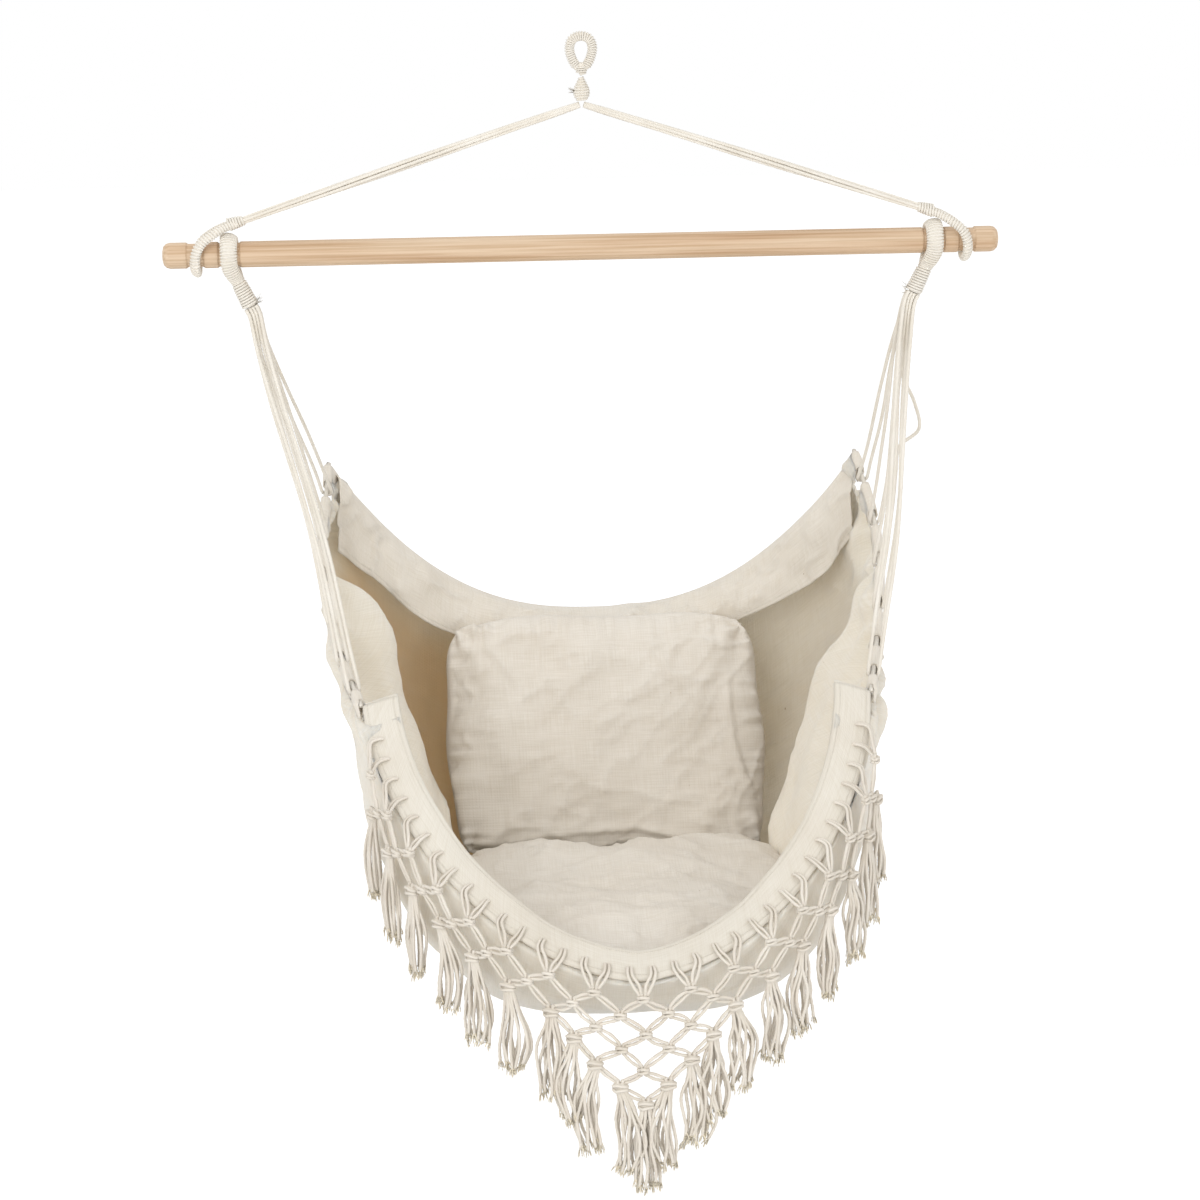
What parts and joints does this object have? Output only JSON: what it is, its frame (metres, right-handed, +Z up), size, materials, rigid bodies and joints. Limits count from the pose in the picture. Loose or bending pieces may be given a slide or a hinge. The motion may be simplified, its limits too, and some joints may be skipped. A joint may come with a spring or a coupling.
{
  "type": "hammock chair",
  "caption": "Hanging canvas chair with two cushions and a knotted, tasselled fringe, held by fans of cord from a wooden spreader bar under a cord bridle and a wrapped eye.",
  "frame": {"origin": "the point at the top of the hanging eye's hole, where a hook bears", "axes": "+Z up, +X to the right of someone who faces the chair, the front of the seat towards -Y"},
  "size_m": [0.9, 0.6775, 1.1486],
  "materials": {
    "wood": "plain sanded hardwood dowel",
    "cord": "twisted cotton cord, natural white",
    "canvas": "heavy woven cotton canvas, natural white",
    "filling": "soft fibre filling"
  },
  "bodies": {
    "eye": {"eye_core": "cord", "eye_whipping": "cord"},
    "neck": {"neck_binding": "cord"},
    "bridle": {"bridle_cords_left": "cord", "bridle_cords_right": "cord", "bridle_loop_left": "cord", "bridle_loop_right": "cord"},
    "bar": {"spreader_bar": "wood"},
    "seat": {"suspension_loop_left": "cord", "suspension_loop_right": "cord", "suspension_whipping_left": "cord", "suspension_whipping_right": "cord", "suspension_cord_left_1": "cord", "suspension_cord_left_2": "cord", "suspension_cord_left_3": "cord", "suspension_cord_left_4": "cord", "suspension_cord_left_5": "cord", "suspension_cord_left_6": "cord", "suspension_cord_right_1": "cord", "suspension_cord_right_2": "cord", "suspension_cord_right_3": "cord", "suspension_cord_right_4": "cord", "suspension_cord_right_5": "cord", "suspension_cord_right_6": "cord", "edge_cord_left": "cord", "edge_cord_right": "cord", "canvas_sling": "canvas", "front_band": "canvas", "back_valance": "canvas", "back_cushion": "canvas", "back_cushion_filling": "filling", "fringe_net": "cord", "tassel_01": "cord", "tassel_02": "cord", "tassel_03": "cord", "tassel_04": "cord", "tassel_05": "cord", "tassel_06": "cord", "tassel_07": "cord", "tassel_08": "cord", "tassel_09": "cord", "tassel_10": "cord", "tassel_11": "cord", "tassel_12": "cord", "tassel_13": "cord", "tassel_14": "cord", "tassel_15": "cord", "tassel_16": "cord", "tassel_17": "cord", "tassel_18": "cord", "tassel_19": "cord", "tassel_20": "cord", "tassel_21": "cord"},
    "seat_pad": {"seat_cushion": "canvas", "seat_cushion_filling": "filling"}
  },
  "joints": [
    {"name": "eye_swing", "type": "hinge", "parent": "eye", "child": "neck", "pos_m": [0, 0, -0.036], "axis": [1, 0, 0], "range_deg": [-35, 35]},
    {"name": "bridle_tilt", "type": "hinge", "parent": "neck", "child": "bridle", "pos_m": [0, 0, -0.0634], "axis": [0, 1, 0], "range_deg": [-10, 10]},
    {"name": "bar_roll", "type": "hinge", "parent": "bridle", "child": "bar", "pos_m": [0, 0, -0.218], "axis": [1, 0, 0], "continuous": true},
    {"name": "seat_swing", "type": "hinge", "parent": "bridle", "child": "seat", "pos_m": [0, 0, -0.218], "axis": [1, 0, 0], "range_deg": [-35, 35]},
    {"name": "seat_cushion_lift", "type": "slide", "parent": "seat", "child": "seat_pad", "axis": [0, 0, 1], "range_m": [0, 0.16]}
  ]
}
